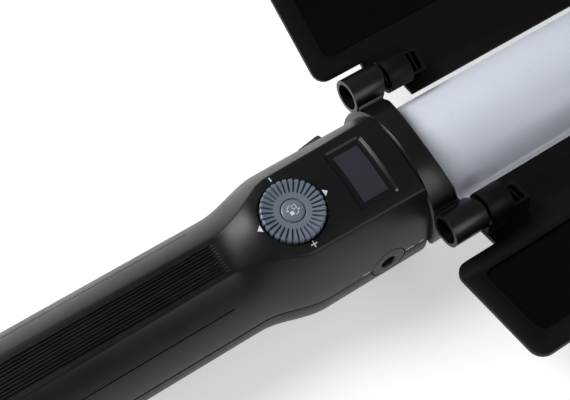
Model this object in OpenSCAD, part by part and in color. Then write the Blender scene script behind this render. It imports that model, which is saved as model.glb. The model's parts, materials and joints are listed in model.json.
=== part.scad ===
// Hand-held LED light wand with two barn doors and a shaped, ribbed handle.
// Units are mm. +X runs from the handle to the far end of the light tube and +Z is the light side.
// Origin: middle of the length and of the width, on the plane that the wand lies on.
// Inside the modules X = 0 is the rear face of the rear collar and Z = 0 is the tube's axis.

/* [Overall] */
// Length of the handle, rear face to collar
handle_len = 195; // [160:1:240]
// Length of the lit part, rear collar face to front collar face
lamp_len = 344; // [200:1:500]
// Length of the end cap beyond the front collar
cap_len = 16; // [10:0.5:24]
// Outer radius of the diffuser tube
tube_r = 25; // [20:0.1:31]

/* [Handle] */
// Half width of the grip at the parting plane
grip_w = 24.7; // [20:0.1:30]
// Height of the grip's flat band above the parting plane
grip_z = 25.1; // [20:0.1:30]
// Half width of the grip's flat band
grip_a = 8.2; // [5:0.1:12]
// How much wider the head is than the tube, each side
head_w_over = 5.15; // [4.4:0.05:8]
// How much higher the head's flat edge stands than the tube
head_z_over = 3.65; // [3:0.05:8]
// Radius of the rounded end of the head's flat, around the dial
head_a = 18; // [16:0.1:20]
// Height of the crown in the middle of the head's top
head_crown = 2.55; // [0:0.05:4]
// Start of the flare from grip to head, back from the collar
flare_start = 79; // [75:0.5:95]
// End of the flare, back from the collar
flare_end = 51; // [45:0.5:60]
// Wall thickness of the two shells
wall = 2.2; // [1.6:0.1:3]
// Gap of the parting line between the two shells
parting_gap = 0.4; // [0.1:0.05:0.8]
// Number of grooves between the ribs of the grip
groove_count = 10; // [3:1:12]
// Spacing of the grooves
groove_pitch = 1.3; // [1:0.05:1.5]
// Width of one groove
groove_w = 0.55; // [0.4:0.05:0.8]
// Depth of the grooves
groove_depth = 0.6; // [0.3:0.05:0.9]
// Front end of the grooves, back from the collar
groove_end = 84; // [83:0.5:100]

/* [Controls] */
// Dial centre, back from the collar
dial_x = 52.2; // [50:0.1:56]
// Outer radius of the dial
dial_r = 13; // [10:0.1:14.5]
// Gap between the dial and its recess
dial_gap = 0.6; // [0.4:0.1:1.5]
// Number of slots in the dial's rim
dial_slots = 32; // [16:1:40]
// Radius of the button in the middle of the dial
button_r = 4.7; // [3.5:0.1:6]
// Gap between the button and the dial
button_gap = 0.3; // [0.2:0.05:0.5]
// Travel of the button
button_travel = 0.8; // [0.3:0.1:1]
// Rear edge of the display recess, back from the collar
display_rear = 28.9; // [27:0.1:33]
// Front edge of the display recess, back from the collar
display_front = 11.35; // [11.2:0.05:13]
// Half width of the display recess
display_w = 14.06; // [10:0.1:15]
// Centre of the power inlet, back from the collar
jack_x = 21.6; // [20:0.1:26]
// Outer radius of the inlet's ring
jack_ring_r = 8; // [6.5:0.1:9]
// Gap around the inlet's ring
jack_gap = 0.15; // [0.05:0.05:0.4]
// Radius of the hole that the plug goes in
jack_hole_r = 3.25; // [2.9:0.05:3.6]
// Travel of the power slider
slider_travel = 3; // [1:0.1:3]

/* [Brackets] */
// How much larger the collars are than the tube
collar_over = 7.8; // [6:0.1:9]
// Length of a collar along the tube
collar_len = 13.8; // [10:0.1:16]
// How far the collar's open edge is drawn in over the top
collar_waist = 4.6; // [0:0.1:6]
// Outer radius of a bracket's hinge barrel
barrel_r = 7.6; // [6.6:0.1:8.5]
// Angle of the hinge barrels above the parting plane
hinge_angle = 27.6; // [20:0.1:40]
// Radius of the hinge screws
pin_r = 2; // [1.5:0.1:2.4]
// Running clearance on a hinge screw, on the radius
pin_gap = 0.05; // [0.01:0.01:0.1]

/* [Barn doors] */
// Reach of a door from its hinge axis
door_reach = 62; // [45:1:70]
// Distance from the hinge axis back to the door's inner face
door_drop = 11.7; // [10.5:0.1:12]
// Thickness of a door's frame
door_t = 2.2; // [1.6:0.1:2.4]
// Angle of the doors above the parting plane
door_angle = 20; // [-30:1:80]
// Width of the rim around a door's recessed panel
door_rim = 8.5; // [5:0.1:12]
// Overhang of a door beyond the collars, each end
door_over = 5; // [2:0.5:8]

/* [Hidden] */

total_len = handle_len + lamp_len + cap_len;
shift_x = handle_len - total_len / 2;
head_w = tube_r + head_w_over;
head_z = tube_r + head_z_over;
head_top = head_z + head_crown;
axis_z = head_z;
head_front = -1.7;
front_wall = 2.5;
collar_r = tube_r + collar_over;
collar_x = -1.5;
collar_bore = tube_r + 0.35;
barrel_x0 = -1;
barrel_x1 = 15.5;
barrel_bore = barrel_r - 1.8;
hinge_dist = collar_r + barrel_r - 0.9;
hinge_y = hinge_dist * cos(hinge_angle);
hinge_z = hinge_dist * sin(hinge_angle);
waist_y = hinge_y - barrel_r - 1;
waist_r = (waist_y * waist_y + collar_waist * collar_waist) / (2 * collar_waist + 0.001);
washer_x = barrel_x1 + 0.1;
door_barrel_x0 = 17.2;
door_barrel_x1 = 28.5;
door_barrel_r = barrel_r - 0.4;
bush_r = pin_r + 1.6;
inner_limit = hinge_dist - tube_r - 0.5;
tube_wall = 2;
tube_in = tube_r - tube_wall;
tube_x0 = -6.5;
tube_x1 = lamp_len + 1.7;
insert_r = 4;
thread_r = 2.6;
grip_crown = 0.1;
p_grip = 1.55;
p_head = 1.45;
p_low = 2.3;
low_bulge = 1.9;
rise_x0 = -flare_start - 5;
round_x0 = -dial_x - 8;
shell_rear = -(handle_len - 5);
posts = [[-34, head_w - 10.15], [-flare_start + 4, grip_w - 11.7], [-105, grip_w - 11.7],
    [-(handle_len - 11), grip_w - 11.7]];
sill_depth = 0.9;
screen_in = 2.9;
slider_x0 = -27;
slider_x1 = -15;
post_r = 3.2;
boss_r = 3.8;
fine = 96;

function clamp01(s) = min(1, max(0, s));
function smooth(x, x0, x1) = let (s = clamp01((x - x0) / (x1 - x0))) s * s * (3 - 2 * s);
function mixv(a, b, s) = a + (b - a) * s;
function w_at(x) = mixv(grip_w, head_w, smooth(x, -flare_start, -flare_end));
function a_front(x) = head_a + 0.7 * (x + dial_x) / dial_x;
function a_round(x) = sqrt(head_a * head_a - pow(x + dial_x, 2));
function a_grip(x) = grip_a + 0.6 * (rise_x0 - x) / 70;
// Cubic that leaves the grip straight and meets the head's round end along its tangent
function a_flare(x) = let (l = round_x0 - rise_x0, s = (x - rise_x0) / l, e = a_round(round_x0),
    m = l * (-round_x0 - dial_x) / e)
    grip_a * (2 * s * s * s - 3 * s * s + 1) + e * (3 * s * s - 2 * s * s * s)
    + m * (s * s * s - s * s);
function a_at(x) = x >= -dial_x ? a_front(x) : (x >= round_x0 ? a_round(x)
    : (x >= rise_x0 ? a_flare(x) : a_grip(x)));
function rise(x) = smooth(x, rise_x0, -dial_x - 12);
function z_at(x) = mixv(grip_z, head_z, rise(x));
function c_at(x) = mixv(grip_crown, head_crown, rise(x));
function p_at(x) = mixv(p_grip, p_head, smooth(x, -flare_start, -flare_end));

// Side of a section, from the parting plane up to the edge of the flat. The lower half is boxier.
function sup_h(w, a, z, p) = z / pow(1 - pow(a / w, p), 1 / p);
function side_t(h, z, p) = asin(pow(z / h, p / 2));
function side_pt(w, h, p, t, b) = let (u = pow(sin(t), 2 / p))
    [w * pow(cos(t), 2 / p) + 4 * b * u * (1 - u), h * u];
function side(w, a, z, p, n) =
    let (h = sup_h(w, a, z, p), te = side_t(h, z, p), b = p == p_low ? low_bulge : 0)
    [for (i = [0:n]) side_pt(w, h, p, te * i / n, b)];
function post_top(q, r, flat) =
    let (x = q[0], w = w_at(x), p = flat ? p_low : p_at(x), h = sup_h(w, a_at(x), z_at(x), p))
    h * pow(1 - pow((q[1] + r) / w, p), 1 / p) - (flat ? 0.3 : 1);
function crown(a, z, c, m) =
    [for (i = [1:m - 1]) let (y = a * (1 - 2 * i / m)) [y, z + c * (1 - pow(y / a, 2))]];
function outline(w, a, z, c, p, low, n, m) =
    let (s = side(w, a, z, p, n), v = p == p_low ? w + 0.3 * low : w)
    concat([[v, low]], s, crown(a, z, c, m), [for (i = [n:-1:0]) [-s[i][0], s[i][1]]],
        [[-v, low]]);
function section(x, t, flat, low) =
    outline(w_at(x) - t, a_at(x) - 0.5 * t, z_at(x) - t, flat ? 0 : c_at(x),
        flat ? p_low : p_at(x), low, 9, 8);

// Stations along the handle: sparse where it is straight, close where it flares
function stations(x0, x1) = concat([x0, -110, -90], [for (x = [-86:2:-52]) x], [-40, -20, x1]);

// Closed skin through sections that all have the same number of points
module loft(xs, secs) {
    n = len(secs[0]);
    k = len(xs);
    pts = [for (j = [0:k - 1]) for (q = secs[j]) [xs[j], q[0], q[1]]];
    sides = [for (j = [0:k - 2]) for (i = [0:n - 1])
        let (a = j * n + i, b = j * n + (i + 1) % n, c = a + n, d = b + n)
        each [[a, d, b], [a, c, d]]];
    polyhedron(pts, concat(sides, [[for (i = [0:n - 1]) i]],
        [[for (i = [n - 1:-1:0]) (k - 1) * n + i]]), convexity = 6);
}

module skin(x0, x1, t, flat, low) {
    xs = stations(x0, x1);
    loft(xs, [for (x = xs) section(x, t, flat, low)]);
}

function rrect(x0, x1, y0, y1, r) =
    let (cs = [[x1 - r, y1 - r, 0], [x0 + r, y1 - r, 90], [x0 + r, y0 + r, 180],
        [x1 - r, y0 + r, 270]])
    [for (c = cs) for (i = [0:5]) [c[0] + r * cos(c[2] + 18 * i), c[1] + r * sin(c[2] + 18 * i)]];

module plate(x0, x1, y0, y1, r, z0, z1) {
    translate([0, 0, z0]) linear_extrude(z1 - z0) polygon(rrect(x0, x1, y0, y1, r));
}

module box(x0, x1, y0, y1, z0, z1) {
    translate([x0, y0, z0]) cube([x1 - x0, y1 - y0, z1 - z0]);
}

module rod_x(x0, x1, r, y = 0, z = 0) {
    translate([x0, y, z]) rotate([0, 90, 0]) cylinder(r = r, h = x1 - x0, $fn = fine);
}

module rod_y(y0, y1, r, x = 0, z = 0) {
    translate([x, y0, z]) rotate([-90, 0, 0]) cylinder(r = r, h = y1 - y0, $fn = fine);
}

module rod_z(z0, z1, r, x = 0, y = 0) {
    translate([x, y, z0]) cylinder(r = r, h = z1 - z0, $fn = fine);
}

module placed() {
    translate([shift_x, 0, axis_z]) children();
}

module both_sides() {
    children();
    mirror([0, 1, 0]) children();
}

module both_ends() {
    children();
    translate([lamp_len, 0, 0]) mirror([1, 0, 0]) children();
}

// The openings that both shells share: inlet, power switch, tube
module shell_openings() {
    rod_y(-head_w - 4, -head_w + wall + 2, jack_ring_r + jack_gap, -jack_x);
    box(slider_x0 - 1.6, slider_x1 + 0.4 + slider_travel, head_w - wall - 2, head_w + 4, -4.2, 4.2);
    rod_x(head_front - front_wall - 1, head_front + 1, tube_r + 0.2);
}

module grip_grooves(z) {
    for (i = [0:groove_count - 1]) {
        y = (i - (groove_count - 1) / 2) * groove_pitch;
        box(-handle_len + 12, -groove_end, y - groove_w / 2, y + groove_w / 2,
            z - groove_depth, z + 3);
    }
}

module side_groove(s) {
    translate([-handle_len + 8, s * (grip_w - 6.7), grip_z - 9.6]) rotate([s * 36, 0, 0])
        box(0, handle_len - 8 - groove_end - 5, s > 0 ? -0.9 : -3, s > 0 ? 3 : 0.9, -0.3, 0.3);
}

// Signs around the dial: plus, minus and two triangles that point away from it
module marks(grow) {
    g = grow;
    z0 = head_z - 0.7 - g;
    high = head_crown + 0.9 + 9 * g;
    sign_r = [15.2, 16.1];
    sign_len = [2.6, 2];
    bar_w = 0.5;
    tri = [14.3, 16.1, 1.5];
    for (i = [0, 1]) translate([-dial_x, (i == 0 ? -1 : 1) * sign_r[i], z0]) {
        turned_bar(bar_w + 2 * g, sign_len[i] + 2 * g, high);
        if (i == 0) turned_bar(sign_len[i] + 2 * g, bar_w + 2 * g, high);
    }
    for (s = [-1, 1]) translate([-dial_x, 0, z0]) linear_extrude(high)
        polygon([[s * (tri[1] + g), 0], [s * (tri[0] - g), tri[2] + g],
            [s * (tri[0] - g), -tri[2] - g]]);
}

module turned_bar(w, l, h) {
    translate([-w / 2, -l / 2, 0]) cube([w, l, h]);
}

// The head's crowned form around the display, drawn in by t
module under_top(t) {
    xs = [-display_rear - 4, -display_front + 4];
    loft(xs, [for (x = xs) section(x, t, false, -1)]);
}

module display_plate(in, r, z0, z1) {
    plate(-display_rear + in, -display_front - in, -display_w + in, display_w - in, r, z0, z1);
}

// Stepped lip, then a sill that follows the crown, around the screen's opening
module display_cut() {
    lip = 0.7;
    difference() {
        display_plate(0, 1.4, head_z - 3, head_top + 3);
        under_top(sill_depth / 2);
    }
    difference() {
        display_plate(lip, 1, head_z - 3, head_top + 2);
        under_top(sill_depth);
    }
    display_plate(screen_in, 0.7, head_z - 6, head_top + 1);
}

module upper_shell() {
    color("#1d1e22") placed() difference() {
        union() {
            difference() {
                skin(shell_rear, head_front, 0, false, -1);
                skin(shell_rear - 2, head_front - front_wall, wall, false, -2);
            }
            for (q = posts) for (s = [-1, 1])
                rod_z(0.4, post_top(q, post_r, false), post_r, q[0], s * q[1]);
        }
        box(-handle_len - 10, 10, -60, 60, -10, parting_gap / 2);
        shell_openings();
        rod_z(head_z - 12, head_top + 5, dial_r + dial_gap, -dial_x);
        display_cut();
        marks(0.03);
        grip_grooves(grip_z + grip_crown);
        side_groove(1);
        side_groove(-1);
        for (q = posts) for (s = [-1, 1]) rod_z(-1, 9, 1.2, q[0], s * q[1]);
    }
}

module lower_shell() {
    color("#1d1e22") placed() difference() {
        union() {
            mirror([0, 0, 1]) difference() {
                skin(shell_rear, head_front, 0, true, -1);
                skin(shell_rear - 2, head_front - front_wall, wall, true, -2);
            }
            for (q = posts) for (s = [-1, 1])
                rod_z(-post_top(q, boss_r, true), -0.4, boss_r, q[0], s * q[1]);
        }
        box(-handle_len - 10, 10, -60, 60, -parting_gap / 2, 10);
        shell_openings();
        for (q = posts) for (s = [-1, 1]) {
            rod_z(-12.5, 1, 1.6, q[0], s * q[1]);
            rod_z(-40, -12, 3, q[0], s * q[1]);
        }
    }
}

module shell_screws() {
    color("#3a3c40") placed() for (q = posts) for (s = [-1, 1]) {
        rod_z(-12.1, 8, 1.15, q[0], s * q[1]);
        difference() {
            rod_z(-14, -12.05, 2.7, q[0], s * q[1]);
            translate([q[0], s * q[1], -14.5]) cylinder(r = 1.3, h = 1.3, $fn = 6);
        }
    }
}

module rear_cap() {
    xs = [-handle_len, -handle_len + 0.5, -handle_len + 2, shell_rear];
    ins = [1.6, 0.8, 0, 0];
    color("#1a1b1e") placed() difference() {
        union() {
            loft(xs, [for (i = [0:3]) cap_outline(ins[i])]);
            rod_x(shell_rear - 0.5, shell_rear + 2.2, 16);
            rod_x(shell_rear - 0.5, shell_rear + 8, 7);
        }
        rod_x(-handle_len - 1, shell_rear + 7, insert_r + 0.02);
    }
}

function cap_outline(t) =
    let (u = section(shell_rear, t, false, -1), d = section(shell_rear, t, true, -1),
        n = len(u))
    concat([for (i = [1:n - 2]) u[i]], [for (i = [n - 3:-1:2]) [d[i][0], -d[i][1]]]);

module insert_body(len) {
    difference() {
        rod_x(0, len, insert_r);
        rod_x(-1, len + 1, thread_r);
        for (x = [3, 6]) {
            translate([x, 0, 0]) rotate([0, 90, 0]) difference() {
                cylinder(r = insert_r + 1, h = 0.7, $fn = fine);
                translate([0, 0, -1]) cylinder(r = insert_r - 0.4, h = 3, $fn = fine);
            }
        }
    }
}

module rear_thread_insert() {
    color("#b08d4a") placed() translate([-handle_len, 0, 0]) insert_body(10);
}

module front_thread_insert() {
    color("#b08d4a") placed() translate([lamp_len + cap_len, 0, 0]) mirror([1, 0, 0])
        insert_body(10);
}

module panel_marks() {
    color("#c9ccd0") placed() intersection() {
        marks(0);
        skin(shell_rear, head_front, -0.1, false, -1);
    }
}

module display_window() {
    color("#2b2730") placed() intersection() {
        display_plate(screen_in + 0.1, 0.6, head_z - 3, head_top + 1);
        difference() {
            under_top(sill_depth + 0.15);
            under_top(sill_depth + 1.3);
        }
    }
}

module display_module() {
    color("#39404a") placed() union() {
        box(-display_rear + 1.5, -display_front - 1.2, -12, 12, head_z - 6, head_z - 4.6);
        box(-display_rear + 3.4, -display_front - 3.4, -10, 10, head_z - 4.7, head_z - 2);
    }
}

module control_board() {
    color("#1f5a36") placed() difference() {
        plate(-62, -17, -16, 16, 2, head_z - 9.2, head_z - 7.6);
        for (x = [-58, -21]) for (y = [-12.5, 12.5]) rod_z(head_z - 10, head_z - 7, 1.2, x, y);
    }
}

module encoder_body() {
    color("#6d7076") placed() difference() {
        rod_z(head_z - 7.55, head_z - 3.2, 9, -dial_x);
        rod_z(head_z - 8, head_z - 3, 4.7, -dial_x);
    }
}

module button_switch() {
    color("#8b8d90") placed() union() {
        box(-dial_x - 3, -dial_x + 3, -3, 3, head_z - 7.55, head_z - 4.2);
        rod_z(head_z - 4.3, head_z - 3.2, 1.6, -dial_x);
    }
}

module dial_ring() {
    z = head_z;
    slope = atan2(1.1, 4.5);
    bore = button_r + button_gap;
    color("#7d8794") placed() translate([-dial_x, 0, 0]) difference() {
        rotate_extrude($fn = fine) polygon([[bore, z - 2.4], [dial_r - 0.8, z - 2.4],
            [dial_r, z - 1.6], [dial_r, z + 3.4], [dial_r - 0.5, z + 3.9],
            [dial_r - 1.1, z + 3.9], [dial_r - 5.6, z + 2.8], [bore, z + 2.8]]);
        for (i = [0:dial_slots - 1]) rotate([0, 0, i * 360 / dial_slots])
            translate([dial_r - 5.2, 0, z + 2.1]) rotate([0, -slope, 0])
                translate([0, -0.45, 0]) cube([8, 0.9, 4]);
    }
}

module mode_button() {
    color("#7d8794") placed() union() {
        rod_z(head_z - 1, head_z + 3.1, button_r, -dial_x);
        rod_z(head_z - 2.3, head_z - 0.9, 2, -dial_x);
    }
}

// The ring's face follows the curve of the handle's side
module dc_jack_ring() {
    y0 = -head_w + 0.1;
    u = section(-jack_x, 0.05, false, -1);
    d = section(-jack_x, 0.05, true, -1);
    n = len(u);
    color("#141518") placed() difference() {
        union() {
            intersection() {
                rod_y(y0 - 3, -head_w + 5, jack_ring_r, -jack_x);
                translate([-jack_x - 12, 0, 0]) rotate([90, 0, 90]) linear_extrude(24)
                    polygon(concat([for (i = [1:n - 2]) u[i]],
                        [for (i = [n - 3:-1:2]) [d[i][0], -d[i][1]]]));
            }
            rod_y(-head_w + 4.6, -head_w + 5.8, jack_ring_r + 1, -jack_x);
        }
        rod_y(y0 - 3, -head_w + 7, jack_hole_r, -jack_x);
    }
}

module dc_jack_socket() {
    y0 = -head_w + 5.85;
    color("#26282c") placed() union() {
        difference() {
            box(-jack_x - 5.5, -jack_x + 5.5, y0, y0 + 13, -5, 5);
            rod_y(y0 - 1, y0 + 10.5, 2.9, -jack_x);
        }
        rod_y(y0 + 1, y0 + 11, 1.05, -jack_x);
    }
}

module power_switch_body() {
    color("#2c2e33") placed() union() {
        box(-29, -13, head_w - 12.2, head_w - 4.4, -4, 4);
        for (x = [-25, -21, -17]) box(x - 0.4, x + 0.4, head_w - 15, head_w - 12, -1, 1);
    }
}

module power_slider() {
    color("#131417") placed() union() {
        translate([0, 0, -3.6]) linear_extrude(7.2) polygon([[slider_x0, head_w - 3.4],
            [slider_x1, head_w - 3.4], [slider_x1, head_w + 0.3], [slider_x1 - 0.6, head_w + 1.6],
            [slider_x1 - 2, head_w + 1.75], [slider_x0, head_w + 0.25]]);
        box(slider_x0 - 3.4, slider_x1 + 3.2, head_w - 4.2, head_w - 3.3, -3.6, 3.6);
    }
}

module battery_cells() {
    x0 = -(handle_len - 17);
    color("#3c5f8a") placed() for (y = [-9.6, 9.6]) {
        rod_x(x0, x0 + 65, 9.2, y, 0);
        rod_x(x0 + 64.5, x0 + 66.2, 2.8, y, 0);
    }
}

module battery_holder() {
    x0 = -(handle_len - 15.4);
    color("#22242a") placed() difference() {
        box(x0, x0 + 69.5, -13.5, 13.5, -13, -4.5);
        for (y = [-9.6, 9.6]) rod_x(x0 + 1.5, x0 + 67.9, 9.3, y, 0);
    }
}

module driver_board() {
    color("#1f5a36") placed() union() {
        plate(-101, -83, -14, 14, 1.5, -6, -4.4);
        box(-98, -90, -8, 2, -4.5, 1.5);
        rod_z(-4.5, 3.5, 3, -87, 7);
    }
}

module tube_socket() {
    x1 = head_front - front_wall - 0.2;
    color("#202226") placed() difference() {
        rod_x(tube_x0 - 1.9, x1, tube_r + head_z_over - wall - 0.15);
        rod_x(tube_x0 - 0.1, x1 + 1, tube_r + 0.1);
        rod_x(tube_x0 - 3, tube_x0 + 1, 4.5, 0, -12);
    }
}

module diffuser_tube() {
    color("#eef1f6") placed() difference() {
        rod_x(tube_x0, tube_x1, tube_r);
        rod_x(tube_x0 - 1, tube_x1 + 1, tube_in);
    }
}

module heatsink_spine() {
    b = tube_in - 3;
    color("#a9adb3") placed() translate([tube_x0 + 1, 0, 0]) rotate([90, 0, 90])
        linear_extrude(lamp_len - 8) polygon([[-b, -5], [-b, -8], [-13, -8], [-13, -15],
            [-11.4, -15], [-11.4, -8], [-0.8, -8], [-0.8, -15], [0.8, -15], [0.8, -8],
            [11.4, -8], [11.4, -15], [13, -15], [13, -8], [b, -8], [b, -5]]);
}

module led_board() {
    color("#e8e6df") placed() box(tube_x0 + 2, tube_x0 + lamp_len - 8, -17.5, 17.5, -4.98, -3.4);
}

module led_chips() {
    n = 24;
    step = (lamp_len - 24) / (n - 1);
    color("#f2d879") placed() for (i = [0:n - 1]) for (y = [-8, 8])
        box(4 + i * step - 2.5, 4 + i * step + 2.5, y - 2.5, y + 2.5, -3.38, -2);
}

module end_cap() {
    x0 = tube_x1 + 0.3;
    x1 = lamp_len + cap_len;
    color("#1a1b1e") placed() difference() {
        union() {
            translate([x0, 0, 0]) rotate([0, 90, 0]) rotate_extrude($fn = fine)
                polygon([[0, 0], [axis_z, 0], [axis_z, x1 - x0 - 3], [axis_z - 0.9, x1 - x0 - 0.9],
                    [axis_z - 3, x1 - x0], [0, x1 - x0]]);
            rod_x(x0 - 8, x0 + 0.5, tube_in - 0.1);
        }
        rod_x(x1 - 11, x1 + 1, insert_r + 0.02);
        for (a = [90, 210, 330]) {
            rod_x(x0 - 9, x1 + 1, 1.3, 16 * cos(a), 16 * sin(a));
            rod_x(x1 - 2.6, x1 + 1, 3, 16 * cos(a), 16 * sin(a));
        }
    }
}

module end_cap_screws() {
    x1 = lamp_len + cap_len;
    color("#8b8d90") placed() for (a = [90, 210, 330]) {
        rod_x(x1 - 20, x1 - 2.4, 1.2, 16 * cos(a), 16 * sin(a));
        difference() {
            rod_x(x1 - 2.55, x1 - 0.9, 2.7, 16 * cos(a), 16 * sin(a));
            translate([x1 - 1.9, 16 * cos(a), 16 * sin(a)]) rotate([0, 90, 0])
                cylinder(r = 1.2, h = 2, $fn = 6);
        }
    }
}

// A collar that clips over the tube from the light side, with a hinge barrel each side
module bracket() {
    x1 = collar_x + collar_len;
    difference() {
        union() {
            translate([collar_x, 0, 0]) rotate([0, 90, 0]) rotate([0, 0, 87])
                rotate_extrude(angle = 186, $fn = fine) polygon([[collar_bore, 0],
                    [collar_r - 0.8, 0], [collar_r, 0.8], [collar_r, collar_len - 1.2],
                    [collar_r - 1.2, collar_len], [collar_bore, collar_len]]);
            both_sides() {
                rod_x(barrel_x0, barrel_x1, barrel_r, hinge_y, hinge_z);
                rotate([hinge_angle, 0, 0])
                    box(barrel_x0 + 0.6, x1 - 0.8, collar_r - 3, hinge_dist, -5.2, 5.2);
            }
        }
        rod_z(0, collar_r + 1, waist_r, x1 - collar_waist + waist_r, 0);
        both_sides() {
            rod_x(barrel_x0 - 1, barrel_x1 - 3.4, barrel_bore, hinge_y, hinge_z);
            rod_x(barrel_x0 - 1, barrel_x1 + 1, pin_r + 0.04, hinge_y, hinge_z);
        }
    }
}

module rear_bracket() {
    color("#17181b") placed() bracket();
}

module front_bracket() {
    color("#17181b") placed() translate([lamp_len, 0, 0]) mirror([1, 0, 0]) bracket();
}

module hinge_screws() {
    hx = barrel_x1 - 3.45;
    color("#9a9da2") placed() both_ends() both_sides() {
        rod_x(hx - 0.1, door_barrel_x1 + 0.8, pin_r, hinge_y, hinge_z);
        difference() {
            rod_x(hx - 3, hx, 4.2, hinge_y, hinge_z);
            translate([hx - 4, hinge_y, hinge_z]) rotate([0, 90, 0])
                cylinder(r = 1.7, h = 2.4, $fn = 6);
        }
    }
}

module hinge_washers() {
    color("#b9bcc0") placed() both_ends() both_sides() difference() {
        rod_x(washer_x, door_barrel_x0 - 0.1, barrel_r - 2, hinge_y, hinge_z);
        rod_x(washer_x - 1, door_barrel_x0 + 1, pin_r + 0.05, hinge_y, hinge_z);
    }
}

// A door is drawn about its own hinge axis: Y is out along the door, Z is towards the light
module on_hinge() {
    translate([0, hinge_y, hinge_z]) rotate([door_angle, 0, 0]) children();
}

module door_end() {
    rod_x(door_barrel_x0, door_barrel_x1, door_barrel_r);
    box(door_barrel_x0, door_barrel_x1, -5, 5, -door_drop - 0.5, 0);
    difference() {
        box(door_barrel_x1 - 0.5, door_barrel_x1 + 10, -5.5, 5.5, -door_drop - 0.2, -2.5);
        plate(door_barrel_x1 + 1.2, door_barrel_x1 + 8.8, -4.3, 4.3, 1.6, -door_drop + 1.6, 0);
    }
    for (x = [3.4, 6.2]) {
        box(door_barrel_x1 + x, door_barrel_x1 + x + 0.8, -4.5, 4.5, -door_drop, -3.4);
    }
}

module door_frame() {
    d0 = -door_drop - door_t;
    d1 = -door_drop;
    xa = -door_over;
    xb = lamp_len + door_over;
    e = inner_limit;
    yi = -(e - 2.3);
    zi = -5.4;
    rf = sqrt(e * e - d0 * d0);
    difference() {
        union() {
            plate(xa, xb, 10, door_reach, 6, d0, d1);
            plate(door_barrel_x0 - 0.2, lamp_len - door_barrel_x0 + 0.2, -1.2, 18, 0.5, d0, d1);
            translate([door_barrel_x1, 0, 0]) rotate([90, 0, 90])
                linear_extrude(lamp_len - 2 * door_barrel_x1) polygon([[2, d0], [2, d1],
                    [-1.2, d1], [yi, zi], [yi - 0.75, zi - 1.18], [-1.2, d0]]);
            both_ends() door_end();
        }
        plate(xa + door_rim, xb - door_rim, 10 + door_rim, door_reach - door_rim, 4,
            d0 - 1, d1 + 1);
        plate(xa + door_rim - 2, xb - door_rim + 2, 8 + door_rim, door_reach - door_rim + 2, 5,
            d0 - 1, d0 + 0.95);
        both_ends() rod_x(door_barrel_x0 - 1, door_barrel_x1 + 1.4, bush_r + 0.02);
    }
}

module door_panel() {
    d0 = -door_drop - door_t;
    plate(-door_over + door_rim - 1.9, lamp_len + door_over - door_rim + 1.9,
        8.1 + door_rim, door_reach - door_rim + 1.9, 4.9, d0, d0 + 0.9);
}

module door_bushes() {
    both_ends() difference() {
        rod_x(door_barrel_x0 + 0.1, door_barrel_x1 + 1.2, bush_r);
        rod_x(door_barrel_x0 - 1, door_barrel_x1 + 3, pin_r + pin_gap);
    }
}

module left_door_frame() {
    color("#0f1012") placed() on_hinge() door_frame();
}

module left_door_panel() {
    color("#0c0d0f") placed() on_hinge() door_panel();
}

module left_door_bushes() {
    color("#d8d6cf") placed() on_hinge() door_bushes();
}

module right_door_frame() {
    color("#0f1012") placed() mirror([0, 1, 0]) on_hinge() door_frame();
}

module right_door_panel() {
    color("#0c0d0f") placed() mirror([0, 1, 0]) on_hinge() door_panel();
}

module right_door_bushes() {
    color("#d8d6cf") placed() mirror([0, 1, 0]) on_hinge() door_bushes();
}

upper_shell();
lower_shell();
rear_cap();
rear_thread_insert();
shell_screws();
panel_marks();
display_window();
display_module();
control_board();
encoder_body();
button_switch();
dc_jack_ring();
dc_jack_socket();
power_switch_body();
battery_cells();
battery_holder();
driver_board();
tube_socket();
diffuser_tube();
heatsink_spine();
led_board();
led_chips();
end_cap();
end_cap_screws();
front_thread_insert();
rear_bracket();
front_bracket();
hinge_screws();
hinge_washers();
dial_ring();
mode_button();
power_slider();
left_door_frame();
left_door_panel();
left_door_bushes();
right_door_frame();
right_door_panel();
right_door_bushes();
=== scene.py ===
"""Visual model of a hand-held LED light wand with two barn doors.

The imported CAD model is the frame: every piece below is placed from its boxes and rides on its
bodies. Wand coordinates are millimetres: x runs from the rear collar's rear face towards the far
end of the tube, y towards the power slider, z from the tube's axis towards the light side.
"""

import json
import logging
import math
from dataclasses import dataclass
from enum import Enum
from typing import Callable, Iterable, Sequence

import bmesh
import bpy
from mathutils import Matrix, Vector

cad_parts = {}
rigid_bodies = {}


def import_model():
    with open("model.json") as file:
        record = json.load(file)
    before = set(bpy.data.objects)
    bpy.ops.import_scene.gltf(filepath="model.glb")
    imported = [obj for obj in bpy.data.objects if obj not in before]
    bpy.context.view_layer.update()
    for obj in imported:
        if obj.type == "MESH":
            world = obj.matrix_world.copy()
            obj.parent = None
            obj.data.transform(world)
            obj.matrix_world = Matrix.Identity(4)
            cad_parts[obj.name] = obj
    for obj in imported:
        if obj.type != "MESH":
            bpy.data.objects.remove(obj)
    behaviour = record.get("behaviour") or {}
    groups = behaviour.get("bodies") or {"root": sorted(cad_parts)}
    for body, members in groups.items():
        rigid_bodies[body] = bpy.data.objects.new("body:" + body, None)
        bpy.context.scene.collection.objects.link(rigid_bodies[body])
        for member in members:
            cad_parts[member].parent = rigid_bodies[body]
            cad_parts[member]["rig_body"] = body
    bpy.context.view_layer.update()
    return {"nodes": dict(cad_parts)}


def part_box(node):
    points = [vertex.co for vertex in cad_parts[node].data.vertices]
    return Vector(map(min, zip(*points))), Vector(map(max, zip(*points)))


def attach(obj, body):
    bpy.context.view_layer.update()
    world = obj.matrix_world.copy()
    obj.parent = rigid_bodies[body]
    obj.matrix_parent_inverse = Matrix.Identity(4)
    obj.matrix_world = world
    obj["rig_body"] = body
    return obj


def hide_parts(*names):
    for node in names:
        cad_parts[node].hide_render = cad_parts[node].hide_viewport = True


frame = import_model()
MM = 0.001
LOG = logging.getLogger("light_wand")

Point2 = tuple[float, float]
Mesh = bpy.types.Object
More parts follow.
